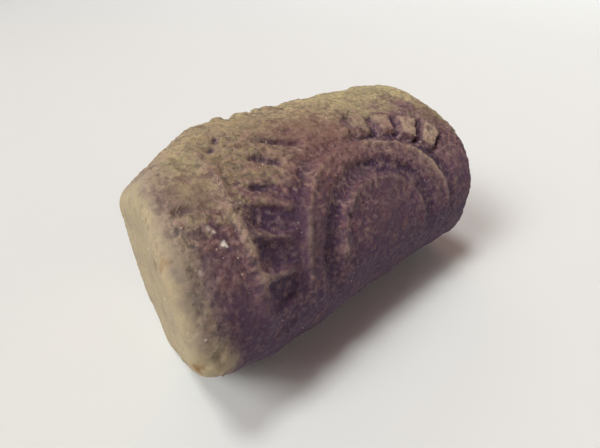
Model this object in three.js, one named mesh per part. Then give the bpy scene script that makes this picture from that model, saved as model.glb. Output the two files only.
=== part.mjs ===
// A worn stone cylinder seal, lying on its side. Millimetres, +Z up.
// The axis runs along X, with the flat end face at -X and the rounded end at +X.
// The clearer side of the carving faces -Y, and the seal rests on Z = 0.
import * as THREE from 'three';

const radians = THREE.MathUtils.degToRad;

// Body: a stone of oval section, a little waisted, and narrower at its far end
const HALF_LENGTH = 19.4;
const HALF_WIDTH = 12.95;
const HALF_HEIGHT = 10.65;
const SECTION_SQUARENESS = 2.19;
const END_FLARE = 0.46;
const FAR_END_NARROWING = 0.75;
const SECTION_LEAN = radians(9.3);

// Flat end: a smooth face cut askew and dished a little
const FLAT_END_SKEW = -0.22;
const FLAT_END_PITCH = 0.04;
const FLAT_END_DISH = 0.45;
const FLAT_END_EDGE = 3.0;

// Far end: rounded over, with a soft edge
const FAR_END_PITCH = -0.055;
const FAR_END_DOME = 1.25;
const FAR_END_EDGE = 0.8;

// Broken shoulder at the back of the flat end, and a small chip low at its front
const SHOULDER_CUT = 3.45;
const SHOULDER_TURN = radians(49);
const SHOULDER_RISE = radians(47.2);
const SHOULDER_EDGE = 1.9;
const TOE_CUT = 1.1;
const TOE_TURN = radians(47);
const TOE_RISE = radians(50.7);
const TOE_EDGE = 1.8;

// Underside: worn flat, which keeps the seal from rolling
const REST_DEPTH = 0.34;

// Carving: rings about a plain boss, with short rays around them
const MOTIF_ALONG = 0.8;
const MOTIF_ANGLE = radians(87);
const INNER_RING_RADIUS = 6.6;
const INNER_RING_WIDTH = 1.8;
const INNER_RING_HEIGHT = 0.3;
const BOSS_HEIGHT = 0.25;
const MOAT_RADIUS = 8.1;
const MOAT_WIDTH = 1.9;
const MOAT_DEPTH = 0.55;
const OUTER_RING_RADIUS = 10.5;
const OUTER_RING_WIDTH = 2.8;
const OUTER_RING_HEIGHT = 0.35;
const DITCH_RADIUS = 12.4;
const DITCH_WIDTH = 1.6;
const DITCH_DEPTH = 0.45;
const RAY_COUNT = 30;
const RAY_TURN = radians(156.3);
const RAY_REACH = 16.8;
const RAY_HEIGHT = 0.3;
const RAY_FADE = 1.2;

// The rays are worn away where they point to the far end: cosines of their turn from the axis
const RAY_WORN_FROM = 0.8;
const RAY_WORN_TO = 0.95;

// They are also rubbed away in a patch on the top of the front
const RUBBED_ALONG = -5;
const RUBBED_ANGLE = radians(24);
const RUBBED_WIDTH = 18.5;

// The same motif on the back is worn almost away
const BACK_MOTIF_ALONG = -1.8;
const BACK_MOTIF_ANGLE = radians(-96);
const BACK_MOTIF_DEPTH = 0.55;

// One deep notch crosses the rays
const NOTCH_ALONG = -5.4;
const NOTCH_ANGLE = radians(18.5);
const NOTCH_TURN = radians(-36);
const NOTCH_LENGTH = 3.4;
const NOTCH_WIDTH = 1.8;
const NOTCH_DEPTH = 0.75;

// A border ridge rings the body beside the flat end
const BORDER_FROM_END = 5.6;
const BORDER_SKEW = 0.12;
const BORDER_WIDTH = 1.8;
const BORDER_HEIGHT = 0.35;

// The carving stops short of both ends, of the underside and of the broken shoulder
const CARVING_FROM_END = 3.4;
const CARVING_END_FADE = 2.4;
const FRONT_PLAIN_PAST = radians(80);
const BACK_PLAIN_PAST = radians(118);
const PLAIN_FADE = radians(28);
const BREAK_FADE = 1.6;

// Wear: long shallow hollows and humps all over
const WEAR_DEPTH = 0.07;
const WEAR_LENGTH = 9.5;
const WEAR_WAVES = 7;
const WEAR_SHRINK = 0.86;

// Mesh: rows of points along the side and over the two ends
const POINTS_AROUND = 90;
const SIDE_ROWS = 30;
const END_ROWS = 12;
const END_CORE_DEPTH = 4;
const SOLVER_STEPS = 36;

const axisHeight = HALF_HEIGHT - REST_DEPTH;
const meanRadius = (HALF_WIDTH + HALF_HEIGHT) / 2;

// The carving is laid out flat as if it went round a circle of this radius
const arcRadius = HALF_WIDTH;

function smoothStep(from, to, value) {
  const t = THREE.MathUtils.clamp((value - from) / (to - from), 0, 1);
  return t * t * (3 - 2 * t);
}

// The larger of two distances, with the corner between them rounded
function roundedMax(a, b, rounding) {
  const overlap = Math.max(rounding - Math.abs(a - b), 0) / rounding;
  return Math.max(a, b) + overlap * overlap * rounding / 4;
}

// A smooth swell that is 1 on its centre line and near 0 at its edges
function swell(offset, width) {
  return Math.exp(-((2 * offset / width) ** 2));
}

function sideDistance(x, y, up) {
  const reach = x / HALF_LENGTH;
  const shrink = FAR_END_NARROWING * reach - END_FLARE * reach * reach;
  const leaned = y * Math.cos(SECTION_LEAN) + up * Math.sin(SECTION_LEAN);
  const raised = up * Math.cos(SECTION_LEAN) - y * Math.sin(SECTION_LEAN);
  const across = Math.abs(leaned) / (HALF_WIDTH - shrink);
  const above = Math.abs(raised) / (HALF_HEIGHT - shrink);
  const oval = (across ** SECTION_SQUARENESS + above ** SECTION_SQUARENESS)
    ** (1 / SECTION_SQUARENESS);
  return (oval - 1) * meanRadius;
}

function flatEndDistance(x, y, up) {
  const fromAxis = (y * y + up * up) / (meanRadius * meanRadius);
  return -(x + HALF_LENGTH) - FLAT_END_SKEW * y - FLAT_END_PITCH * up
    - FLAT_END_DISH * fromAxis;
}

function farEndDistance(x, y, up) {
  const fromAxis = (y * y + up * up) / (meanRadius * meanRadius);
  return x - HALF_LENGTH - FAR_END_PITCH * up + FAR_END_DOME * fromAxis;
}

// A flat break across the corner of the flat end; facing is +1 at the back, -1 at the front
function breakDistance(x, y, up, cut, turn, rise, facing) {
  const along = Math.cos(rise) * Math.cos(turn);
  const across = Math.cos(rise) * Math.sin(turn);
  const above = Math.sin(rise);
  const corner = HALF_LENGTH * along + Math.hypot(HALF_WIDTH * across, HALF_HEIGHT * above);
  return -x * along + facing * (y * across + up * above) - (corner - cut);
}

// Height of the rings and rays at a point laid out flat about the motif's centre
function motifHeight(along, up, rayStrength) {
  const radius = Math.hypot(along, up);
  const towardsFarEnd = along / Math.max(radius, DITCH_RADIUS);
  const raysLeft = rayStrength * (1 - smoothStep(RAY_WORN_FROM, RAY_WORN_TO, towardsFarEnd));
  const ray = Math.cos(RAY_COUNT * (Math.atan2(up, along) - RAY_TURN));
  const rayZone = smoothStep(DITCH_RADIUS, DITCH_RADIUS + RAY_FADE, radius)
    * (1 - smoothStep(RAY_REACH - RAY_FADE, RAY_REACH, radius));
  return BOSS_HEIGHT * (1 - smoothStep(0, INNER_RING_RADIUS, radius))
    + INNER_RING_HEIGHT * swell(radius - INNER_RING_RADIUS, INNER_RING_WIDTH)
    - MOAT_DEPTH * swell(radius - MOAT_RADIUS, MOAT_WIDTH)
    + OUTER_RING_HEIGHT * swell(radius - OUTER_RING_RADIUS, OUTER_RING_WIDTH)
    - DITCH_DEPTH * swell(radius - DITCH_RADIUS, DITCH_WIDTH)
    + RAY_HEIGHT * raysLeft * rayZone * ray;
}

function placedMotif(x, angle, centreAlong, centreAngle) {
  const turn = Math.atan2(Math.sin(centreAngle - angle), Math.cos(centreAngle - angle));
  const fromRubbed = Math.hypot(x - RUBBED_ALONG, arcRadius * (angle - RUBBED_ANGLE));
  const rayStrength = 1 - Math.exp(-((2 * fromRubbed / RUBBED_WIDTH) ** 4));
  return motifHeight(x - centreAlong, arcRadius * turn, rayStrength);
}

function notchHeight(x, angle) {
  const along = x - NOTCH_ALONG;
  const up = arcRadius * (NOTCH_ANGLE - angle);
  const lengthwise = along * Math.cos(NOTCH_TURN) + up * Math.sin(NOTCH_TURN);
  const crosswise = up * Math.cos(NOTCH_TURN) - along * Math.sin(NOTCH_TURN);
  return -NOTCH_DEPTH * swell(lengthwise, NOTCH_LENGTH) * swell(crosswise, NOTCH_WIDTH);
}

function carvingHeight(x, y, up) {
  const angle = Math.atan2(-y, up);
  const pastBorder = x + HALF_LENGTH - BORDER_FROM_END - BORDER_SKEW * y;
  const border = swell(pastBorder, BORDER_WIDTH);
  const field = smoothStep(-BORDER_WIDTH / 2, BORDER_WIDTH, pastBorder);
  const nearEnd = HALF_LENGTH - CARVING_FROM_END;
  const plainPast = angle > 0 ? FRONT_PLAIN_PAST : BACK_PLAIN_PAST;
  const toShoulder = breakDistance(x, y, up, SHOULDER_CUT, SHOULDER_TURN, SHOULDER_RISE, 1);
  const zone = (1 - smoothStep(nearEnd, nearEnd + CARVING_END_FADE, Math.abs(x)))
    * (1 - smoothStep(plainPast, plainPast + PLAIN_FADE, Math.abs(angle)))
    * smoothStep(0, BREAK_FADE, -toShoulder);
  const front = placedMotif(x, angle, MOTIF_ALONG, MOTIF_ANGLE);
  const back = BACK_MOTIF_DEPTH * placedMotif(x, angle, BACK_MOTIF_ALONG, BACK_MOTIF_ANGLE);
  const motifs = Math.cos(angle - MOTIF_ANGLE) > 0 ? front : back;
  return zone * (BORDER_HEIGHT * border + field * motifs + notchHeight(x, angle));
}

// Waves in evenly spread directions, each shorter and lower than the one before
function wearHeight(x, y, z) {
  const goldenAngle = Math.PI * (3 - Math.sqrt(5));
  let height = 0;
  let length = WEAR_LENGTH;
  let depth = WEAR_DEPTH;
  for (let wave = 0; wave < WEAR_WAVES; wave += 1) {
    const rise = 1 - (2 * wave + 1) / WEAR_WAVES;
    const level = Math.sqrt(1 - rise * rise);
    const along = x * level * Math.cos(wave * goldenAngle)
      + y * level * Math.sin(wave * goldenAngle) + z * rise;
    height += depth * Math.sin(2 * Math.PI * along / length + wave);
    length *= WEAR_SHRINK;
    depth *= WEAR_SHRINK;
  }
  return height;
}

// Below 0 inside the stone, above 0 outside it
function distanceToSurface(x, y, z) {
  const up = z - axisHeight;
  const flatEnd = flatEndDistance(x, y, up);
  const farEnd = farEndDistance(x, y, up);
  let distance = roundedMax(sideDistance(x, y, up), flatEnd, FLAT_END_EDGE);
  distance = roundedMax(distance, farEnd, FAR_END_EDGE);
  const shoulder = breakDistance(x, y, up, SHOULDER_CUT, SHOULDER_TURN, SHOULDER_RISE, 1);
  distance = roundedMax(distance, shoulder, SHOULDER_EDGE);
  const toe = breakDistance(x, y, up, TOE_CUT, TOE_TURN, TOE_RISE, -1);
  distance = roundedMax(distance, toe, TOE_EDGE);
  const awayFromRest = smoothStep(0, axisHeight / 4, z);
  const relief = carvingHeight(x, y, up) + awayFromRest * wearHeight(x, y, z);
  return Math.max(distance - relief, -z);
}

// Distance along a ray from the axis to the surface
function reachAlong(origin, direction) {
  let inside = 0;
  let outside = 3 * (HALF_LENGTH + HALF_WIDTH);
  for (let step = 0; step < SOLVER_STEPS; step += 1) {
    const middle = (inside + outside) / 2;
    const x = origin + direction.x * middle;
    const y = direction.y * middle;
    const z = axisHeight + direction.z * middle;
    if (distanceToSurface(x, y, z) < 0) {
      inside = middle;
    } else {
      outside = middle;
    }
  }
  return (inside + outside) / 2;
}

// Each row of points is a ring of rays: a start on the axis, and how they lean along it.
// Over an end the rays fan out evenly over the last of the side and then over the face.
function rayRows() {
  const coreHalf = HALF_LENGTH - END_CORE_DEPTH;
  const walk = (END_CORE_DEPTH + meanRadius) / END_ROWS;
  const rows = [];
  for (let row = END_ROWS - 1; row > 0; row -= 1) {
    rows.push({ origin: -coreHalf, lean: -leanOverEnd(row * walk) });
  }
  for (let row = 0; row <= SIDE_ROWS; row += 1) {
    rows.push({ origin: coreHalf * (2 * row / SIDE_ROWS - 1), lean: 0 });
  }
  for (let row = 1; row < END_ROWS; row += 1) {
    rows.push({ origin: coreHalf, lean: leanOverEnd(row * walk) });
  }
  return rows;
}

function leanOverEnd(walked) {
  const along = Math.min(walked, END_CORE_DEPTH);
  const inward = Math.max(walked - END_CORE_DEPTH, 0);
  return Math.atan2(along, meanRadius - inward);
}

function surfacePoint(origin, lean, angle) {
  const direction = new THREE.Vector3(
    Math.sin(lean),
    -Math.cos(lean) * Math.sin(angle),
    Math.cos(lean) * Math.cos(angle),
  );
  const reach = reachAlong(origin, direction);
  const point = direction.multiplyScalar(reach).add(new THREE.Vector3(origin, 0, axisHeight));
  if (point.z < 1e-6) {
    point.z = 0;
  }
  return point;
}

function sealGeometry() {
  const rows = rayRows();
  const points = [surfacePoint(rows[0].origin, -Math.PI / 2, 0)];
  for (const row of rows) {
    for (let step = 0; step < POINTS_AROUND; step += 1) {
      points.push(surfacePoint(row.origin, row.lean, 2 * Math.PI * step / POINTS_AROUND));
    }
  }
  points.push(surfacePoint(rows[rows.length - 1].origin, Math.PI / 2, 0));

  const faces = [];
  const at = (row, step) => 1 + row * POINTS_AROUND + (step % POINTS_AROUND);
  for (let step = 0; step < POINTS_AROUND; step += 1) {
    faces.push(0, at(0, step + 1), at(0, step));
    for (let row = 0; row < rows.length - 1; row += 1) {
      faces.push(at(row, step), at(row + 1, step + 1), at(row + 1, step));
      faces.push(at(row, step), at(row, step + 1), at(row + 1, step + 1));
    }
    faces.push(at(rows.length - 1, step), at(rows.length - 1, step + 1), points.length - 1);
  }

  const geometry = new THREE.BufferGeometry().setFromPoints(points);
  geometry.setIndex(faces);
  geometry.computeBoundingBox();
  const middle = geometry.boundingBox.getCenter(new THREE.Vector3());
  geometry.translate(-middle.x, -middle.y, 0);
  geometry.computeVertexNormals();
  return geometry;
}

const stone = new THREE.MeshStandardMaterial({
  color: 0x84766a,
  roughness: 0.85,
  metalness: 0,
});

const seal = new THREE.Mesh(sealGeometry(), stone);
seal.name = 'seal';

const cylinderSeal = new THREE.Group();
cylinderSeal.add(seal);

export default cylinderSeal;
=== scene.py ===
import math

import bpy
import numpy as np
from mathutils import Matrix, Vector


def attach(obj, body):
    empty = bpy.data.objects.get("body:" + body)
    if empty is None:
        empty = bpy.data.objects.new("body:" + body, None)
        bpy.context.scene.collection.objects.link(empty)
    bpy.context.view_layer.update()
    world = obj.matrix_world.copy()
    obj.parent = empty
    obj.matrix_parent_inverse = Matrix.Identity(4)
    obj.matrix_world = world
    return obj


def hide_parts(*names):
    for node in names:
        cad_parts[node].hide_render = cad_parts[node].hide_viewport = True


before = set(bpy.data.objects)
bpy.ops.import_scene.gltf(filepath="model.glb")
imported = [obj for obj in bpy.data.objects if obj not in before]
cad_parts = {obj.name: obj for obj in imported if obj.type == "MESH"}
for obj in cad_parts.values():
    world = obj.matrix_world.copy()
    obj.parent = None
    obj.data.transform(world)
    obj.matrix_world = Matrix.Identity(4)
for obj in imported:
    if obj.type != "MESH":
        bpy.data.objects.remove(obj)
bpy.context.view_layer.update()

# Cylinder seal
# One piece of soft brown limestone, cut and ground to a stubby oval cylinder, flat at one end.
# Rings, short rays and a border ridge are drilled and scraped into its side, to be rolled over clay.
# Handling and burial have rounded it, broken a shoulder and left grit, pits and soil in the carving.

MM = 0.001
HALF_LENGTH = 19.4
HALF_WIDTH = 12.95
HALF_HEIGHT = 10.65
SECTION_SQUARENESS = 2.19
END_FLARE = 0.46
FAR_END_NARROWING = 0.75
SECTION_LEAN = math.radians(9.3)
FLAT_END_SKEW = -0.22
FLAT_END_PITCH = 0.04
FLAT_END_DISH = 0.45
FLAT_END_EDGE = 2.2
FAR_END_PITCH = -0.055
FAR_END_DOME = 1.25
FAR_END_EDGE = 0.8
SHOULDER = {"cut": 3.45, "turn": 49, "rise": 47.2, "edge": 1.9, "facing": 1}
TOE = {"cut": 1.1, "turn": 47, "rise": 50.7, "edge": 1.8, "facing": -1}
REST_DEPTH = 0.34
SOLID_MIDDLE = (-1.47, -0.212, 0.0)

axis_height = HALF_HEIGHT - REST_DEPTH
mean_radius = (HALF_WIDTH + HALF_HEIGHT) / 2


def smooth_step(low, high, value):
    t = np.clip((value - low) / (high - low), 0, 1)
    return t * t * (3 - 2 * t)


def rounded_max(a, b, rounding):
    overlap = np.maximum(rounding - np.abs(a - b), 0) / rounding
    return np.maximum(a, b) + overlap * overlap * rounding / 4


def side_distance(x, y, up):
    reach = x / HALF_LENGTH
    shrink = FAR_END_NARROWING * reach - END_FLARE * reach**2
    leaned = y * math.cos(SECTION_LEAN) + up * math.sin(SECTION_LEAN)
    raised = up * math.cos(SECTION_LEAN) - y * math.sin(SECTION_LEAN)
    across = np.abs(leaned) / (HALF_WIDTH - shrink)
    above = np.abs(raised) / (HALF_HEIGHT - shrink)
    oval = (across**SECTION_SQUARENESS + above**SECTION_SQUARENESS) ** (1 / SECTION_SQUARENESS)
    return (oval - 1) * mean_radius


def flat_end_distance(x, y, up):
    from_axis = (y**2 + up**2) / mean_radius**2
    return -(x + HALF_LENGTH) - FLAT_END_SKEW * y - FLAT_END_PITCH * up - FLAT_END_DISH * from_axis


def far_end_distance(x, y, up):
    from_axis = (y**2 + up**2) / mean_radius**2
    return x - HALF_LENGTH - FAR_END_PITCH * up + FAR_END_DOME * from_axis


def break_distance(x, y, up, chip):
    turn = math.radians(chip["turn"])
    rise = math.radians(chip["rise"])
    along = math.cos(rise) * math.cos(turn)
    across = math.cos(rise) * math.sin(turn)
    above = math.sin(rise)
    corner = HALF_LENGTH * along + math.hypot(HALF_WIDTH * across, HALF_HEIGHT * above)
    return -x * along + chip["facing"] * (y * across + up * above) - (corner - chip["cut"])


# Carving: two motifs of rings round a plain boss, with short rays, and a border ridge near the flat end.
# Handling has rubbed the rays off one patch, and worn the back motif lower than the front one.
# The carving fades out at the broken shoulder, low on the sides and towards both ends.
RING_CENTRE = (0.8, math.radians(87))
BACK_RING_CENTRE = (-1.8, math.radians(-96))
BACK_WEAR = 0.55
INNER_RING = {"radius": 6.7, "width": 0.95, "height": 0.3}
BOSS_HEIGHT = 0.15
MOAT = {"radius": 8.1, "width": 2.0, "depth": 0.5}
OUTER_RING = {"radius": 10.4, "width": 2.7, "height": 0.2}
OUTER_RIM = {"radius": 11.2, "width": 0.6, "height": 0.26}
DITCH = {"radius": 12.4, "width": 1.5, "depth": 0.45, "worn_side": 0.7}
RAYS = {"count": 30, "turn": math.radians(156.3), "reach": 17.2, "height": 0.46, "fade": 1.0,
        "sharpness": 3.2, "widening": 0.72, "worn_from": 0.8, "worn_to": 0.95}
RUBBED = {"along": -5.0, "angle": math.radians(24), "width": 18.5, "stained": 19.0}
BORDER = {"from_end": 5.5, "skew": 0.12, "width": 1.4, "height": 0.42}
CARVING_FROM_END = 3.4
CARVING_END_FADE = 2.4
FRONT_PLAIN_PAST = math.radians(80)
BACK_PLAIN_PAST = math.radians(118)
PLAIN_FADE = math.radians(28)
BREAK_FADE = 1.6
WEAR = {"depth": 0.07, "length": 9.5, "waves": 7, "shrink": 0.86}

# Gouges and knobs that knocks and burial left on the worn front and top.
# Each has its place along and round the side, its turn, its length, width and height, in mm and degrees.
# They stay within SCAR_REACH of the side, so that none draws a line across an end.
SCARS = [
    (-5.3, 18.5, -36, 4.6, 1.2, -0.9),
    (-5.0, 31.0, -36, 4.6, 1.4, 0.25),
    (-3.0, 10.0, 0, 1.5, 1.0, -0.4),
    (-11.2, 5.5, 60, 2.0, 0.8, -0.35),
    (-12.6, 12.0, 30, 1.6, 0.9, -0.4),
    (-11.2, 41.5, -22, 2.8, 0.8, -0.4),
    (-8.8, 28.0, -36, 3.4, 1.0, -0.6),
    (-7.9, 44.0, 0, 1.6, 1.2, 0.2),
    (-18.9, 39.5, -8, 2.2, 0.7, -0.35),
    (-1.7, 20.5, 0, 2.0, 1.5, 0.25),
    (1.0, 30.5, 10, 1.8, 1.6, 0.3),
    (3.1, 27.0, 20, 1.5, 1.4, 0.2),
    (-5.8, 79.5, 35, 2.8, 1.4, 0.3),
    (-15.2, 60.0, 75, 3.2, 1.8, 0.2),
    (-20.6, 93.0, 20, 3.2, 2.0, 0.3),
]
SCAR_REACH = 5.0

arc_radius = HALF_WIDTH


def swell(offset, width):
    return np.exp(-((2 * offset / width) ** 2))


def straight_cut(offset, width):
    return np.exp(-((2 * offset / width) ** 4))


def motif_height(along, up, ray_strength):
    radius = np.hypot(along, up)
    towards_far_end = along / np.maximum(radius, DITCH["radius"])
    ray = np.cos(RAYS["count"] * (np.arctan2(up, along) - RAYS["turn"]))
    ray = np.clip(RAYS["sharpness"] * (ray + RAYS["widening"] * towards_far_end), -1, 1)
    ditch_depth = DITCH["depth"] * (1 + DITCH["worn_side"] * np.minimum(towards_far_end, 0))
    ray_zone = smooth_step(DITCH["radius"], DITCH["radius"] + RAYS["fade"], radius) * (
        1 - smooth_step(RAYS["reach"] - RAYS["fade"], RAYS["reach"], radius))
    ray_zone = ray_zone * (1 - smooth_step(RAYS["worn_from"], RAYS["worn_to"], towards_far_end))
    return (BOSS_HEIGHT * (1 - smooth_step(0, INNER_RING["radius"], radius))
            + INNER_RING["height"] * swell(radius - INNER_RING["radius"], INNER_RING["width"])
            - MOAT["depth"] * straight_cut(radius - MOAT["radius"], MOAT["width"])
            + OUTER_RING["height"] * straight_cut(radius - OUTER_RING["radius"], OUTER_RING["width"])
            + OUTER_RIM["height"] * swell(radius - OUTER_RIM["radius"], OUTER_RIM["width"])
            - ditch_depth * straight_cut(radius - DITCH["radius"], DITCH["width"])
            + RAYS["height"] * ray_strength * ray_zone * ray)


def from_rubbed_patch(x, angle):
    return np.hypot(x - RUBBED["along"], arc_radius * (angle - RUBBED["angle"]))


def placed_motif(x, angle, centre):
    turn = np.arctan2(np.sin(centre[1] - angle), np.cos(centre[1] - angle))
    ray_strength = 1 - straight_cut(from_rubbed_patch(x, angle), RUBBED["width"])
    return motif_height(x - centre[0], arc_radius * turn, ray_strength)


def scar_height(x, angle, scar):
    place, place_angle, turn, length, width, height = scar
    along = x - place
    up = arc_radius * (math.radians(place_angle) - angle)
    lengthwise = along * math.cos(math.radians(turn)) + up * math.sin(math.radians(turn))
    crosswise = up * math.cos(math.radians(turn)) - along * math.sin(math.radians(turn))
    return height * straight_cut(lengthwise, length) * straight_cut(crosswise, width)


def carving_height(x, y, up):
    angle = np.arctan2(-y, up)
    past_border = x + HALF_LENGTH - BORDER["from_end"] - BORDER["skew"] * y
    field = smooth_step(-BORDER["width"] / 2, BORDER["width"], past_border)
    near_end = HALF_LENGTH - CARVING_FROM_END
    plain_past = np.where(angle > 0, FRONT_PLAIN_PAST, BACK_PLAIN_PAST)
    unbroken = smooth_step(0, BREAK_FADE, -break_distance(x, y, up, SHOULDER))
    zone = unbroken * (1 - smooth_step(near_end, near_end + CARVING_END_FADE, np.abs(x))) * (
        1 - smooth_step(plain_past, plain_past + PLAIN_FADE, np.abs(angle)))
    front = placed_motif(x, angle, RING_CENTRE)
    back = BACK_WEAR * placed_motif(x, angle, BACK_RING_CENTRE)
    motifs = np.where(np.cos(angle - RING_CENTRE[1]) > 0, front, back)
    near_side = smooth_step(-SCAR_REACH, -SCAR_REACH / 2, side_distance(x, y, up))
    scars = near_side * sum(scar_height(x, angle, scar) for scar in SCARS)
    return zone * (BORDER["height"] * swell(past_border, BORDER["width"]) + field * motifs) + scars


def wear_height(x, y, z):
    golden_angle = math.pi * (3 - math.sqrt(5))
    height = 0
    length = WEAR["length"]
    depth = WEAR["depth"]
    for wave in range(WEAR["waves"]):
        rise = 1 - (2 * wave + 1) / WEAR["waves"]
        level = math.sqrt(1 - rise**2)
        turn = wave * golden_angle
        along = x * level * math.cos(turn) + y * level * math.sin(turn) + z * rise
        height = height + depth * np.sin(2 * math.pi * along / length + wave)
        length *= WEAR["shrink"]
        depth *= WEAR["shrink"]
    return height


def distance_to_surface(x, y, z):
    up = z - axis_height
    distance = rounded_max(side_distance(x, y, up), flat_end_distance(x, y, up), FLAT_END_EDGE)
    distance = rounded_max(distance, far_end_distance(x, y, up), FAR_END_EDGE)
    for chip in (SHOULDER, TOE):
        distance = rounded_max(distance, break_distance(x, y, up, chip), chip["edge"])
    away_from_rest = smooth_step(0, axis_height / 4, z)
    relief = carving_height(x, y, up) + away_from_rest * wear_height(x, y, z)
    return np.maximum(distance - relief, -z)


# Skin: the stone's outer surface, as one closed mesh.
# Rays from the axis end where they meet the surface, and rings of their ends are joined up.
POINTS_AROUND = 348
SIDE_ROWS = 148
END_ROWS = 50
END_CORE_DEPTH = 4
SOLVER_STEPS = 22
PALE_BREAK = 0.9

core_half = HALF_LENGTH - END_CORE_DEPTH
end_walk = np.arange(1, END_ROWS) * (END_CORE_DEPTH + mean_radius) / END_ROWS
end_leans = np.arctan2(np.minimum(end_walk, END_CORE_DEPTH),
                       mean_radius - np.maximum(end_walk - END_CORE_DEPTH, 0))
row_leans = np.concatenate([
    [-math.pi / 2], -end_leans[::-1], np.zeros(SIDE_ROWS + 1), end_leans, [math.pi / 2]])
row_origins = np.concatenate([
    np.full(END_ROWS, -core_half), np.linspace(-core_half, core_half, SIDE_ROWS + 1),
    np.full(END_ROWS, core_half)])
ray_angles = np.arange(POINTS_AROUND) * 2 * math.pi / POINTS_AROUND
origins, angles = np.meshgrid(row_origins, ray_angles, indexing="ij")
leans = np.repeat(row_leans[:, None], POINTS_AROUND, axis=1)
ray = np.stack([np.sin(leans), -np.cos(leans) * np.sin(angles), np.cos(leans) * np.cos(angles)])
start = np.stack([origins, np.zeros(origins.shape), np.full(origins.shape, axis_height)])

inside = np.zeros(origins.shape)
outside = np.full(origins.shape, 2.0 * HALF_LENGTH)
for _ in range(SOLVER_STEPS):
    middle = (inside + outside) / 2
    within = distance_to_surface(*(start + ray * middle)) < 0
    inside = np.where(within, middle, inside)
    outside = np.where(within, outside, middle)
x, y, z = start + ray * inside
measured = {
    "carving": carving_height(x, y, z - axis_height),
    "scraped": swell(from_rubbed_patch(x, np.arctan2(-y, z - axis_height)), RUBBED["stained"]),
    "from_flat_end": -flat_end_distance(x, y, z - axis_height),
    "broken": smooth_step(-PALE_BREAK, 0, break_distance(x, y, z - axis_height, SHOULDER)),
}


def once_at_poles(rows):
    return np.concatenate([rows[0, :1], rows[1:-1].reshape(-1, *rows.shape[2:]), rows[-1, :1]])


skin_places = once_at_poles(np.stack([x, y, z], axis=-1) - np.array(SOLID_MIDDLE)) * MM
last = len(skin_places) - 1
rings = [1 + ring * POINTS_AROUND for ring in range(len(row_origins) - 2)]
faces = []
for step in range(POINTS_AROUND):
    after = (step + 1) % POINTS_AROUND
    faces.append((0, rings[0] + after, rings[0] + step))
    faces.append((rings[-1] + step, rings[-1] + after, last))
    faces.extend((here + step, here + after, there + after, there + step)
                 for here, there in zip(rings, rings[1:]))

skin_mesh = bpy.data.meshes.new("seal_stone")
skin_mesh.from_pydata(skin_places.tolist(), [], faces)
skin_mesh.shade_smooth()
for name, rows in measured.items():
    values = once_at_poles(rows).astype(np.float32)
    skin_mesh.attributes.new(name, "FLOAT", "POINT").data.foreach_set("value", values)
skin = bpy.data.objects.new("seal_stone", skin_mesh)
bpy.context.scene.collection.objects.link(skin)


def add_node(tree, kind, inputs=None, **settings):
    node = tree.nodes.new(kind)
    for name, value in settings.items():
        setattr(node, name, value)
    for key, value in (inputs or {}).items():
        if isinstance(value, bpy.types.NodeSocket):
            tree.links.new(value, node.inputs[key])
        else:
            node.inputs[key].default_value = value
    return node


# Weathering: lumps, rough grit, pits and pocks that burial left in the skin, and pale grains.
# The ground flat end and the underside stay smoother, and the carving is rubbed lower in patches.
WEATHERING_MM = {
    "Lump size": 2.6, "Lump height": 0.12,
    "Grit size": 0.85, "Grit height": 0.25,
    "Pit spacing": 2.15, "Pit radius": 0.62, "Pit depth": 0.34,
    "Pock spacing": 1.0, "Pock radius": 0.3, "Pock depth": 0.15,
    "Rubbed patch": 4.5, "Rough patch": 7.0, "Rest margin": 1.3,
    "Grain spacing": 3.2, "Grain radius": 0.12, "Smooth height": 7.0, "Rough height": 16.0,
    "Rough end margin": 7.0,
}
WEATHERING_SHARES = {"Rubbed share": 0.3, "Pitted share": 0.5, "Seed": 7.0}
NOISE_DETAIL = {"Lump size": 4.0, "Grit size": 5.0, "Rubbed patch": 2.0, "Rough patch": 2.0}
NOISE_ROUGHNESS = 0.72
NOISE_SWING = 4.0
RAGGED_DETAIL = 2.0
END_SMOOTH_TO = 1.0
END_ROUGH_FROM = 2.8
END_ROUGHNESS = 0.18
LOW_ROUGHNESS = 0.35
END_MARGIN_ROUGHNESS = 2.0
ROUGH_PATCH = {"From Min": 0.38, "From Max": 0.58, "To Min": 0.7, "To Max": 1.1}
RUBBED_PATCH = {"From Min": 0.42, "From Max": 0.6}
PIT_RAGGEDNESS = 0.9
GRAIN_SMALLEST = (0.45, 0.35, 0.3)
GRAIN_LARGEST = (1.3, 1.0, 0.8)

weathering = bpy.data.node_groups.new("stone_weathering", "GeometryNodeTree")
weathering.interface.new_socket("Geometry", in_out="INPUT", socket_type="NodeSocketGeometry")
weathering.interface.new_socket("Geometry", in_out="OUTPUT", socket_type="NodeSocketGeometry")
for name in (*WEATHERING_MM, *WEATHERING_SHARES):
    weathering.interface.new_socket(name, in_out="INPUT", socket_type="NodeSocketFloat")
given = add_node(weathering, "NodeGroupInput").outputs
place = add_node(weathering, "GeometryNodeInputPosition").outputs[0]
per_metre = {}
for name in ("Lump size", "Grit size", "Pit spacing", "Pock spacing", "Rubbed patch", "Rough patch"):
    per_metre[name] = add_node(weathering, "ShaderNodeMath", {0: 1.0, 1: given[name]},
                               operation="DIVIDE").outputs[0]

noise = {}
for name, detail in NOISE_DETAIL.items():
    noise[name] = add_node(weathering, "ShaderNodeTexNoise", {
        "Vector": place, "W": given["Seed"], "Scale": per_metre[name], "Detail": detail,
        "Roughness": NOISE_ROUGHNESS}, noise_dimensions="4D").outputs[0]

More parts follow.
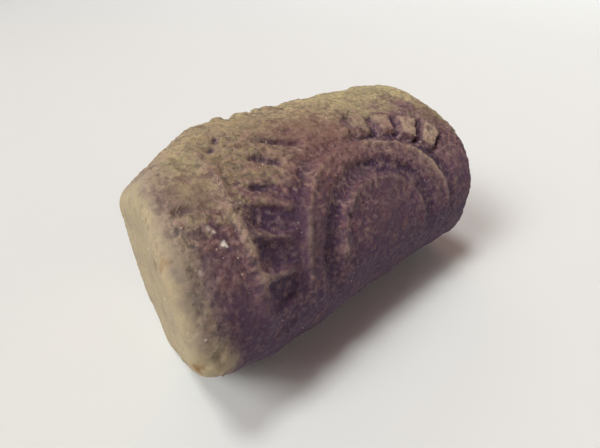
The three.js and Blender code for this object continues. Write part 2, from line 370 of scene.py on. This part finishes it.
from_flat_end = add_node(weathering, "GeometryNodeInputNamedAttribute", {
    "Name": "from_flat_end"}).outputs[0]
carving = add_node(weathering, "GeometryNodeInputNamedAttribute", {"Name": "carving"}).outputs[0]
height = add_node(weathering, "ShaderNodeSeparateXYZ", {0: place}).outputs[2]
off_table = add_node(weathering, "ShaderNodeMapRange", {
    "Value": height, "From Max": given["Rest margin"]}, interpolation_type="SMOOTHSTEP").outputs[0]
off_flat_end = add_node(weathering, "ShaderNodeMapRange", {
    "Value": from_flat_end, "From Min": END_SMOOTH_TO, "From Max": END_ROUGH_FROM,
    "To Min": END_ROUGHNESS}, interpolation_type="SMOOTHSTEP").outputs[0]
patchy = add_node(weathering, "ShaderNodeMapRange", {
    "Value": noise["Rough patch"], **ROUGH_PATCH}).outputs[0]
high_up = add_node(weathering, "ShaderNodeMapRange", {
    "Value": height, "From Min": given["Smooth height"], "From Max": given["Rough height"],
    "To Min": LOW_ROUGHNESS}).outputs[0]
near_flat_end = add_node(weathering, "ShaderNodeMath", {0: from_flat_end, 1: MM},
                         operation="MULTIPLY").outputs[0]
near_flat_end = add_node(weathering, "ShaderNodeMapRange", {
    "Value": near_flat_end, "From Min": given["Rough end margin"], "From Max": 0.0,
    "To Max": END_MARGIN_ROUGHNESS}).outputs[0]
high_up = add_node(weathering, "ShaderNodeMath", {0: high_up, 1: near_flat_end},
                   operation="MAXIMUM").outputs[0]
rough = add_node(weathering, "ShaderNodeMath", {0: off_flat_end, 1: patchy},
                 operation="MULTIPLY").outputs[0]
rough = add_node(weathering, "ShaderNodeMath", {0: rough, 1: high_up}, operation="MULTIPLY").outputs[0]

rise = 0.0
swings = {}
for name, size, share in (("Lump height", "Lump size", 1.0), ("Grit height", "Grit size", rough)):
    swing = add_node(weathering, "ShaderNodeMath", {
        0: noise[size], 1: NOISE_SWING, 2: -NOISE_SWING / 2}, operation="MULTIPLY_ADD").outputs[0]
    swing = add_node(weathering, "ShaderNodeMath", {0: swing, 1: share}, operation="MULTIPLY").outputs[0]
    swings[size] = swing
    rise = add_node(weathering, "ShaderNodeMath", {0: swing, 1: given[name], 2: rise},
                    operation="MULTIPLY_ADD").outputs[0]

ragged_colour = add_node(weathering, "ShaderNodeTexNoise", {
    "Vector": place, "Scale": per_metre["Grit size"], "Detail": RAGGED_DETAIL}).outputs[1]
ragged_place = add_node(weathering, "ShaderNodeVectorMath", {
    0: ragged_colour, 1: (PIT_RAGGEDNESS * MM,) * 3, 2: place}, operation="MULTIPLY_ADD").outputs[0]
pitting = 0.0
for kind in ("Pit", "Pock"):
    cells = add_node(weathering, "ShaderNodeTexVoronoi", {
        "Vector": ragged_place, "Scale": per_metre[kind + " spacing"]})
    reach = add_node(weathering, "ShaderNodeMath", {
        0: given[kind + " radius"], 1: per_metre[kind + " spacing"]}, operation="MULTIPLY").outputs[0]
    hollow = add_node(weathering, "ShaderNodeMapRange", {
        "Value": cells.outputs["Distance"], "From Max": reach, "To Min": 1.0, "To Max": 0.0},
        interpolation_type="SMOOTHSTEP").outputs[0]
    drawn = add_node(weathering, "ShaderNodeSeparateXYZ", {0: cells.outputs["Color"]}).outputs[0]
    chosen = add_node(weathering, "ShaderNodeMath", {0: drawn, 1: given["Pitted share"]},
                      operation="LESS_THAN").outputs[0]
    hollow = add_node(weathering, "ShaderNodeMath", {0: hollow, 1: chosen}, operation="MULTIPLY").outputs[0]
    hollow = add_node(weathering, "ShaderNodeMath", {0: hollow, 1: rough}, operation="MULTIPLY").outputs[0]
    pitting = add_node(weathering, "ShaderNodeMath", {0: hollow, 1: pitting},
                       operation="MAXIMUM").outputs[0]
    depth = add_node(weathering, "ShaderNodeMath", {0: hollow, 1: given[kind + " depth"]},
                     operation="MULTIPLY").outputs[0]
    rise = add_node(weathering, "ShaderNodeMath", {0: rise, 1: depth}, operation="SUBTRACT").outputs[0]

rubbed = add_node(weathering, "ShaderNodeMapRange", {
    "Value": noise["Rubbed patch"], **RUBBED_PATCH, "To Max": given["Rubbed share"]},
    interpolation_type="SMOOTHSTEP").outputs[0]
lost = add_node(weathering, "ShaderNodeMath", {0: rubbed, 1: carving}, operation="MULTIPLY").outputs[0]
carving_left = add_node(weathering, "ShaderNodeMath", {0: carving, 1: lost},
                        operation="SUBTRACT").outputs[0]
rise = add_node(weathering, "ShaderNodeMath", {0: lost, 1: -MM, 2: rise},
                operation="MULTIPLY_ADD").outputs[0]
rise = add_node(weathering, "ShaderNodeMath", {0: rise, 1: off_table}, operation="MULTIPLY").outputs[0]
outward = add_node(weathering, "GeometryNodeInputNormal").outputs[0]
offset = add_node(weathering, "ShaderNodeVectorMath", {0: outward, "Scale": rise},
                  operation="SCALE").outputs[0]

stored = given["Geometry"]
for name, value in (("carving", carving_left), ("pitting", pitting), ("rough", rough),
                    ("grit", swings["Grit size"])):
    stored = add_node(weathering, "GeometryNodeStoreNamedAttribute", {
        "Geometry": stored, "Name": name, "Value": value}, data_type="FLOAT", domain="POINT").outputs[0]
worn_skin = add_node(weathering, "GeometryNodeSetPosition", {
    "Geometry": stored, "Offset": offset}).outputs[0]

per_area = add_node(weathering, "ShaderNodeMath", {0: given["Grain spacing"], 1: -2.0},
                    operation="POWER").outputs[0]
rough_left = add_node(weathering, "GeometryNodeInputNamedAttribute", {"Name": "rough"}).outputs[0]
grain_share = add_node(weathering, "ShaderNodeMath", {0: rough_left, 1: off_table},
                       operation="MULTIPLY").outputs[0]
grain_density = add_node(weathering, "ShaderNodeMath", {0: per_area, 1: grain_share},
                         operation="MULTIPLY").outputs[0]
grain_seats = add_node(weathering, "GeometryNodeDistributePointsOnFaces", {
    "Mesh": worn_skin, "Density": grain_density, "Seed": 5}).outputs[0]
grain = add_node(weathering, "GeometryNodeMeshIcoSphere", {"Radius": given["Grain radius"]}).outputs[0]
grain = add_node(weathering, "GeometryNodeStoreNamedAttribute", {
    "Geometry": grain, "Name": "grain", "Value": 1.0}, data_type="FLOAT", domain="POINT").outputs[0]
grain_turn = add_node(weathering, "FunctionNodeRandomValue", {
    0: (0, 0, 0), 1: (math.tau, math.tau, math.tau), "Seed": 2}, data_type="FLOAT_VECTOR").outputs[0]
grain_scale = add_node(weathering, "FunctionNodeRandomValue", {
    0: GRAIN_SMALLEST, 1: GRAIN_LARGEST, "Seed": 3}, data_type="FLOAT_VECTOR").outputs[0]
grains = add_node(weathering, "GeometryNodeInstanceOnPoints", {
    "Points": grain_seats, "Instance": grain, "Rotation": grain_turn, "Scale": grain_scale}).outputs[0]
joined = add_node(weathering, "GeometryNodeJoinGeometry", {0: grains})
weathering.links.new(worn_skin, joined.inputs[0])
real = add_node(weathering, "GeometryNodeRealizeInstances", {0: joined.outputs[0]}).outputs[0]

stone = bpy.data.materials.new("weathered_limestone")
finished = add_node(weathering, "GeometryNodeSetMaterial", {"Geometry": real, "Material": stone}).outputs[0]
add_node(weathering, "NodeGroupOutput", {"Geometry": finished})

modifier = skin.modifiers.new("stone_weathering", "NODES")
modifier.node_group = weathering
for socket in weathering.interface.items_tree:
    if socket.name in WEATHERING_MM:
        modifier[socket.identifier] = WEATHERING_MM[socket.name] * MM
    elif socket.name in WEATHERING_SHARES:
        modifier[socket.identifier] = WEATHERING_SHARES[socket.name]
weathered = skin.evaluated_get(bpy.context.evaluated_depsgraph_get())
weathered_mesh = bpy.data.meshes.new_from_object(weathered)
skin.modifiers.remove(modifier)
skin.data = weathered_mesh
bpy.data.meshes.remove(skin_mesh)


def linear(hex_colour):
    channels = [int(hex_colour[i:i + 2], 16) / 255 for i in (1, 3, 5)]
    return tuple(c / 12.92 if c <= 0.04045 else ((c + 0.055) / 1.055) ** 2.4 for c in channels) + (1.0,)


# Stone: fine-grained brown limestone, scraped, then handled and buried, so it looks dull and mottled.
# A tan crust lies on the upper side, the front is bare and mauve, soil darkens the cuts and pits,
# and the flat end, ground smooth, is cream. Mottles and grit are as large as in the real stone.
# Some of the colour is painted light. Tan and brown on the side facing the light, and dark low on the
# front, are partly the stone's colour and partly painted light and shade. Raised carving high up is painted
# pale as painted light, the cuts are painted dark with painted shade as well as soil, and a dark line along
# the lower edge of the flat end is painted shade.
STONE_COLOURS = {
    "mauve": "#5a3654", "brown": "#664b4c", "dark": "#37213e", "reddish": "#7c4b3f",
    "tan": "#b9b07f", "olive": "#837c5d", "cream": "#ac9e7d", "grey": "#8c8073",
    "soil": "#2f1e34", "rust": "#7a5426", "pale": "#a8937c", "rosy": "#9a8078",
    "quartz": "#d3c8ba", "calcite": "#f0e8db", "moss": "#7a7036",
}
# Mottles: the size of each in mm, and how many finer steps of detail it has
MOTTLES_MM = {
    "broad": (5.0, 4.0), "middle": (2.0, 3.0), "fine": (0.8, 1.5), "stain": (1.9, 3.0),
    "ragged": (0.5, 3.0), "crust and light": (3.6, 4.0), "edge": (2.0, 5.0), "grit": (0.36, 1.0),
    "patch": (1.0, 2.0),
}
MOTTLE_ROUGHNESS = 0.62
STREAK_SIZE = 0.9
STREAK_STRETCH = 0.22
STREAK_DETAIL = 4.0
STREAK_ROUGHNESS = 0.65
CELL_SIZE = 0.42
CELL_DETAIL = 2.0
# The crust slope points up, back and towards the flat end, the way the light falls, so the tan it lays is
# partly crust and partly painted light.
CRUST_AND_LIGHT_SLOPE = (-14.0, 62.0, 75.0)
FAR_CRUST_FROM = 16.0
FAR_CRUST_FULL = 20.5
FAR_CRUST_GAIN = 0.8
BROWN_RISE = 32.0
END_RAGGEDNESS = {"edge": 1.6, "ragged": 1.2}
# Layers over the mauve stone, lowest first: where each lies, how strongly it covers, and its colour
LAYERS = [
    ("brown", 0.8, "brown"), ("dark", 0.5, "dark"), ("crust and light", 0.92, "tan"), ("lit ridge", 0.95, "pale"),
    ("broken", 0.85, "cream"), ("scraped", 0.6, "reddish"), ("scraped", 0.25, "dark"),
    ("underside", 0.88, "dark"), ("reddish", 0.25, "reddish"), ("olive crust", 0.6, "olive"),
    ("cut", 0.84, "dark"), ("end haze", 0.5, "grey"), ("end", 0.92, "cream"), ("grey end", 0.5, "grey"),
    ("end rim", 0.6, "grey"), ("streak", 0.3, "grey"), ("crease shade", 0.35, "dark"), ("high", 0.32, "pale"),
    ("low", 0.36, "soil"), ("light", 0.32, "rosy"), ("shade", 0.34, "soil"), ("pitting", 0.45, "soil"),
    ("fleck", 0.38, "rosy"), ("grime", 0.36, "soil"), ("pale cell", 0.34, "rosy"),
    ("dark cell", 0.32, "soil"), ("rosy cell", 0.18, "reddish"), ("grain", 0.6, "quartz"),
]
paint = {name: linear(value) for name, value in STONE_COLOURS.items()}

stone.use_nodes = True
tree = stone.node_tree
tree.nodes.clear()
place = add_node(tree, "ShaderNodeTexCoord").outputs["Object"]
mottle = {}
for seed, (name, (size, detail)) in enumerate(MOTTLES_MM.items()):
    mottle[name] = add_node(tree, "ShaderNodeTexNoise", {
        "Vector": place, "W": float(seed), "Scale": 1 / (size * MM), "Detail": detail,
        "Roughness": MOTTLE_ROUGHNESS}, noise_dimensions="4D").outputs[0]
found = {}
for name in ("carving", "from_flat_end", "pitting", "grain", "grit", "rough", "scraped", "broken"):
    found[name] = add_node(tree, "ShaderNodeAttribute", attribute_name=name).outputs["Fac"]

facing_up = add_node(tree, "ShaderNodeVectorMath", {0: place, 1: CRUST_AND_LIGHT_SLOPE},
                     operation="DOT_PRODUCT").outputs["Value"]
east, _, height_now = add_node(tree, "ShaderNodeSeparateXYZ", {0: place}).outputs
# Brown rising with height over the mauve below is partly the stone's colour and partly painted light.
brown_level = add_node(tree, "ShaderNodeMath", {0: height_now, 1: BROWN_RISE, 2: mottle["broad"]},
                       operation="MULTIPLY_ADD").outputs[0]
far_end = add_node(tree, "ShaderNodeMapRange", {
    "Value": east, "From Min": FAR_CRUST_FROM * MM, "From Max": FAR_CRUST_FULL * MM,
    "To Max": FAR_CRUST_GAIN}).outputs[0]
crust_and_light_level = add_node(tree, "ShaderNodeMath", {0: facing_up, 1: far_end}, operation="ADD").outputs[0]
for name in ("crust and light", "patch"):
    crust_and_light_level = add_node(tree, "ShaderNodeMath", {0: mottle[name], 1: crust_and_light_level},
                           operation="ADD").outputs[0]
end_level = found["from_flat_end"]
for name, reach in END_RAGGEDNESS.items():
    end_level = add_node(tree, "ShaderNodeMath", {0: mottle[name], 1: -reach, 2: end_level},
                         operation="MULTIPLY_ADD").outputs[0]

upright = add_node(tree, "ShaderNodeMapping", {
    "Vector": place, "Scale": (1, 1, STREAK_STRETCH)}).outputs[0]
streaks = add_node(tree, "ShaderNodeTexNoise", {
    "Vector": upright, "Scale": 1 / (STREAK_SIZE * MM), "Detail": STREAK_DETAIL,
    "Roughness": STREAK_ROUGHNESS}).outputs[0]
cell_place = add_node(tree, "ShaderNodeTexNoise", {
    "Vector": place, "Scale": 1 / (CELL_SIZE * MM), "Detail": CELL_DETAIL}).outputs[1]
cell_place = add_node(tree, "ShaderNodeVectorMath", {
    0: cell_place, 1: (CELL_SIZE * MM,) * 3, 2: place}, operation="MULTIPLY_ADD").outputs[0]
cells = add_node(tree, "ShaderNodeTexVoronoi", {"Vector": cell_place, "Scale": 1 / (CELL_SIZE * MM)})
cell_draw = add_node(tree, "ShaderNodeSeparateXYZ", {0: cells.outputs["Color"]}).outputs

# Where each layer lies: what it follows, the level at which it ends and the level at which it is full
share = {name: found[name] for name in ("pitting", "grain", "scraped", "broken")}
for name, source, none, full in (
        ("brown", brown_level, 0.8, 1.05),
        ("dark", mottle["middle"], 0.52, 0.36),
        ("reddish", mottle["stain"], 0.54, 0.66),
        ("crust and light", crust_and_light_level, 1.92, 2.52),
        ("olive", mottle["middle"], 0.44, 0.6),
        ("end", end_level, 1.7, 0.5),
        ("end haze", end_level, 3.3, 1.0),
        ("end rim", end_level, -1.2, 0.0),
        # A dark line is painted along the lower edge of the flat end, where the side turns away from the
        # light: painted shade.
        ("crease inner", end_level, 0.2, 0.5),
        ("crease outer", end_level, 0.9, 0.6),
        ("crease height", height_now, 18.5 * MM, 15.0 * MM),
        ("streak", streaks, 0.5, 0.68),
        # Dark low on the front is partly darker stone and partly painted shade.
        ("underside", height_now, 15.5 * MM, 8.0 * MM),
        ("grey", mottle["stain"], 0.5, 0.36),
        # Raised carving, more so higher up, is painted pale: painted light on crests that face the light.
        ("lit ridge", found["carving"], 0.1, 0.42),
        ("ridge height", height_now, 6.0 * MM, 19.0 * MM),
        # Cuts are painted dark: soil in them, and painted shade.
        ("cut", found["carving"], -0.03, -0.3),
        ("high", found["grit"], 0.1, 0.8),
        ("low", found["grit"], -0.1, -0.8),
        ("light", mottle["fine"], 0.52, 0.62),
        ("shade", mottle["fine"], 0.48, 0.38),
        ("fleck", mottle["grit"], 0.54, 0.64),
        ("grime", mottle["grit"], 0.46, 0.36),
        ("pale cell", cell_draw[0], 0.6, 1.0),
        ("dark cell", cell_draw[0], 0.4, 0.0),
        ("rosy cell", cell_draw[1], 0.6, 1.0)):
    share[name] = add_node(tree, "ShaderNodeMapRange", {
        "Value": source, "From Min": none, "From Max": full}, interpolation_type="SMOOTHSTEP").outputs[0]
for name, first, second in (
        ("olive crust", "olive", "crust and light"), ("grey end", "grey", "end"),
        ("crease shade", "crease inner", "crease outer"), ("crease shade", "crease shade", "crease height"),
        ("lit ridge", "lit ridge", "ridge height"), ("end rim", "end rim", "end"), ("streak", "streak", "end")):
    share[name] = add_node(tree, "ShaderNodeMath", {0: share[first], 1: share[second]},
                           operation="MULTIPLY").outputs[0]
for name in ("light", "shade", "fleck", "grime", "pale cell", "dark cell", "rosy cell"):
    share[name] = add_node(tree, "ShaderNodeMath", {0: share[name], 1: found["rough"]},
                           operation="MULTIPLY").outputs[0]

colour = paint["mauve"]
for name, strength, over in LAYERS:
    layer = add_node(tree, "ShaderNodeMath", {0: share[name], 1: strength}, operation="MULTIPLY").outputs[0]
    colour = add_node(tree, "ShaderNodeMix", {0: layer, 6: colour, 7: paint[over]},
                      data_type="RGBA").outputs[2]

# Marks in their own places: stains of rust and soil, bare and dark patches, and bright mineral grains.
# Each has its centre and radius in mm, its colour and its strength, and noise makes its edge ragged.
MARK_RAGGEDNESS = 2.2
MARK_OUTER_EDGE = 2.3
MARK_INNER_EDGE = 1.6
MARKS_MM = [
    ((-19.42, -4.71, 15.36), 0.3, "soil", 0.9),
    ((-20.59, -8.62, 16.76), 0.8, "rust", 0.6),
    ((-20.43, -10.23, 17.75), 0.6, "rust", 0.4),
    ((-19.8, -13.7, 9.8), 2.5, "cream", 0.7),
    ((-20.62, -13.17, 10.08), 0.7, "rust", 0.9),
    ((-16.2, -6.4, 20.4), 3.0, "brown", 0.42),
    ((-8.2, -12.2, 15.2), 6.0, "dark", 0.5),
    ((2.7, -11.6, 15.0), 6.0, "dark", 0.36),
    ((0.4, -3.9, 20.3), 4.5, "reddish", 0.3),
    ((-1.0, -5.0, 20.0), 6.0, "brown", 0.3),
    ((-15.5, -13.9, 11.3), 4.0, "dark", 0.4),
    ((-15.88, -10.7, 17.7), 0.33, "calcite", 1.0),
    ((-16.33, -9.54, 18.81), 0.3, "quartz", 0.5),
    ((-16.13, -9.86, 18.51), 0.22, "quartz", 0.6),
    ((-18.62, -11.67, 16.89), 0.22, "quartz", 0.3),
    ((17.8, -5.84, 19.26), 2.6, "moss", 0.2),
]
for centre, radius, over, strength in MARKS_MM:
    away = add_node(tree, "ShaderNodeVectorMath", {0: place, 1: tuple(c * MM for c in centre)},
                    operation="DISTANCE").outputs["Value"]
    away = add_node(tree, "ShaderNodeMath", {
        0: mottle["fine"], 1: MARK_RAGGEDNESS * radius * MM, 2: away},
        operation="MULTIPLY_ADD").outputs[0]
    layer = add_node(tree, "ShaderNodeMapRange", {
        "Value": away, "From Min": MARK_OUTER_EDGE * radius * MM,
        "From Max": MARK_INNER_EDGE * radius * MM, "To Max": strength},
        interpolation_type="SMOOTHSTEP").outputs[0]
    colour = add_node(tree, "ShaderNodeMix", {0: layer, 6: colour, 7: paint[over]},
                      data_type="RGBA").outputs[2]

# The finest grit is too small for the mesh, so the surface is only lit as if it were there.
# It is drawn a little coarser than the real powdery stone, so that it still shows.
GRIT_RELIEF = 0.12
FINE_RELIEF = 0.3
CELL_RELIEF = 0.06
STONE_ROUGHNESS = {"From Min": 0.3, "From Max": 0.7, "To Min": 0.72, "To Max": 0.92}
LIMESTONE_IOR = 1.5
bump = add_node(tree, "ShaderNodeBump", {
    "Strength": found["rough"], "Distance": FINE_RELIEF * MM, "Height": mottle["fine"]}).outputs[0]
for relief, level in ((GRIT_RELIEF, mottle["grit"]), (CELL_RELIEF, cell_draw[0])):
    bump = add_node(tree, "ShaderNodeBump", {
        "Strength": found["rough"], "Distance": relief * MM, "Height": level,
        "Normal": bump}).outputs[0]
roughness = add_node(tree, "ShaderNodeMapRange", {"Value": mottle["fine"], **STONE_ROUGHNESS}).outputs[0]
surface = add_node(tree, "ShaderNodeBsdfPrincipled", {
    "Base Color": colour, "Roughness": roughness, "IOR": LIMESTONE_IOR, "Normal": bump})
add_node(tree, "ShaderNodeOutputMaterial", {"Surface": surface.outputs[0]})

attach(skin, "root")
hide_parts("seal")


# Table
# A table top of plain white laminated board, smooth and matt, which the seal lies on.
# Its edge bends up all round into a low wall, so it is pale behind the seal from any side.

TABLE_DROP = 0.02 * MM
TABLE_FLAT_RADIUS = 0.45
TABLE_BEND_RADIUS = 0.15
TABLE_WALL_TOP = 0.35
TABLE_STEPS_AROUND = 96
TABLE_STEPS_IN_BEND = 14
TABLE_COLOUR = "#d5d9d9"
TABLE_ROUGHNESS = 0.85

profile = [(TABLE_FLAT_RADIUS / 2, -TABLE_DROP)]
for step in range(TABLE_STEPS_IN_BEND + 1):
    bend = step / TABLE_STEPS_IN_BEND * math.pi / 2
    profile.append((TABLE_FLAT_RADIUS + TABLE_BEND_RADIUS * math.sin(bend),
                    TABLE_BEND_RADIUS * (1 - math.cos(bend)) - TABLE_DROP))
profile.append((TABLE_FLAT_RADIUS + TABLE_BEND_RADIUS, TABLE_WALL_TOP))
table_places = [(0, 0, -TABLE_DROP)]
for radius, level in profile:
    for step in range(TABLE_STEPS_AROUND):
        turn = step / TABLE_STEPS_AROUND * math.tau
        table_places.append((radius * math.cos(turn), radius * math.sin(turn), level))
table_faces = []
for step in range(TABLE_STEPS_AROUND):
    after = (step + 1) % TABLE_STEPS_AROUND
    table_faces.append((0, 1 + step, 1 + after))
    for ring in range(len(profile) - 1):
        here = 1 + ring * TABLE_STEPS_AROUND
        there = here + TABLE_STEPS_AROUND
        table_faces.append((here + step, there + step, there + after, here + after))
table_mesh = bpy.data.meshes.new("table_top")
table_mesh.from_pydata(table_places, [], table_faces)
table_mesh.shade_smooth()
table = bpy.data.objects.new("table_top", table_mesh)
bpy.context.scene.collection.objects.link(table)
laminate = bpy.data.materials.new("white_laminate")
laminate.use_nodes = True
laminate.node_tree.nodes["Principled BSDF"].inputs["Base Color"].default_value = linear(TABLE_COLOUR)
laminate.node_tree.nodes["Principled BSDF"].inputs["Roughness"].default_value = TABLE_ROUGHNESS
table_mesh.materials.append(laminate)


# Light and camera
# Daylight falls from high up and from past the flat end, and pale walls throw it back from that
# side, from behind and from the right. The room in front is dim and warm.
# The camera looks down on the front and the flat end from close by.

CAMERA_AZIMUTH = math.radians(-41.27)
CAMERA_ELEVATION = math.radians(31.64)
CAMERA_ROLL = math.radians(-0.957)
CAMERA_DISTANCE = 52.42 * MM
CAMERA_AIM = Vector((-1.373, -3.170, 10.0)) * MM
CAMERA_LENS = 27.70
LIGHTS = {
    "high_window": {"from": (-0.25, 0.1, 1.0), "spread": 15, "strength": 1.3, "colour": "#fefffc"},
    "left_window": {"from": (-0.89, 0.1, 1.0), "spread": 22, "strength": 1.5, "colour": "#fefffc"},
    "left_wall": {"from": (-1.0, 0.09, 0.63), "spread": 30, "strength": 1.5, "colour": "#fefff8"},
    "back_wall": {"from": (-0.31, 0.85, 0.42), "spread": 50, "strength": 0.4, "colour": "#fffcf4"},
    "right_wall": {"from": (0.58, 0.69, 0.42), "spread": 60, "strength": 0.85, "colour": "#ffd8c0"},
    "warm_room": {"from": (0.3, -0.5, 1.0), "spread": 160, "strength": 0.4, "colour": "#ea4c40"},
}
ROOM_COLOUR = "#b9a9a2"
ROOM_STRENGTH = 0.01

ahead = Vector((-math.sin(CAMERA_AZIMUTH) * math.cos(CAMERA_ELEVATION),
                math.cos(CAMERA_AZIMUTH) * math.cos(CAMERA_ELEVATION), -math.sin(CAMERA_ELEVATION)))
level_right = Vector((math.cos(CAMERA_AZIMUTH), math.sin(CAMERA_AZIMUTH), 0))
level_up = level_right.cross(ahead)
right = level_right * math.cos(CAMERA_ROLL) + level_up * math.sin(CAMERA_ROLL)
up = level_up * math.cos(CAMERA_ROLL) - level_right * math.sin(CAMERA_ROLL)
camera_data = bpy.data.cameras.new("camera")
camera_data.lens = CAMERA_LENS
camera_data.clip_start = 1 * MM
camera = bpy.data.objects.new("camera", camera_data)
camera.matrix_world = Matrix.Translation(CAMERA_AIM - ahead * CAMERA_DISTANCE) @ Matrix(
    (right, up, -ahead)).transposed().to_4x4()
bpy.context.scene.collection.objects.link(camera)
bpy.context.scene.camera = camera

for name, light in LIGHTS.items():
    light_data = bpy.data.lights.new(name, "SUN")
    light_data.angle = math.radians(light["spread"])
    light_data.energy = light["strength"]
    light_data.color = linear(light["colour"])[:3]
    lamp = bpy.data.objects.new(name, light_data)
    lamp.rotation_euler = Vector(light["from"]).to_track_quat("Z", "Y").to_euler()
    bpy.context.scene.collection.objects.link(lamp)

room = bpy.data.worlds.new("room")
bpy.context.scene.world = room
room.use_nodes = True
room.node_tree.nodes["Background"].inputs["Color"].default_value = linear(ROOM_COLOUR)
room.node_tree.nodes["Background"].inputs["Strength"].default_value = ROOM_STRENGTH
bpy.context.scene.view_settings.view_transform = "Standard"
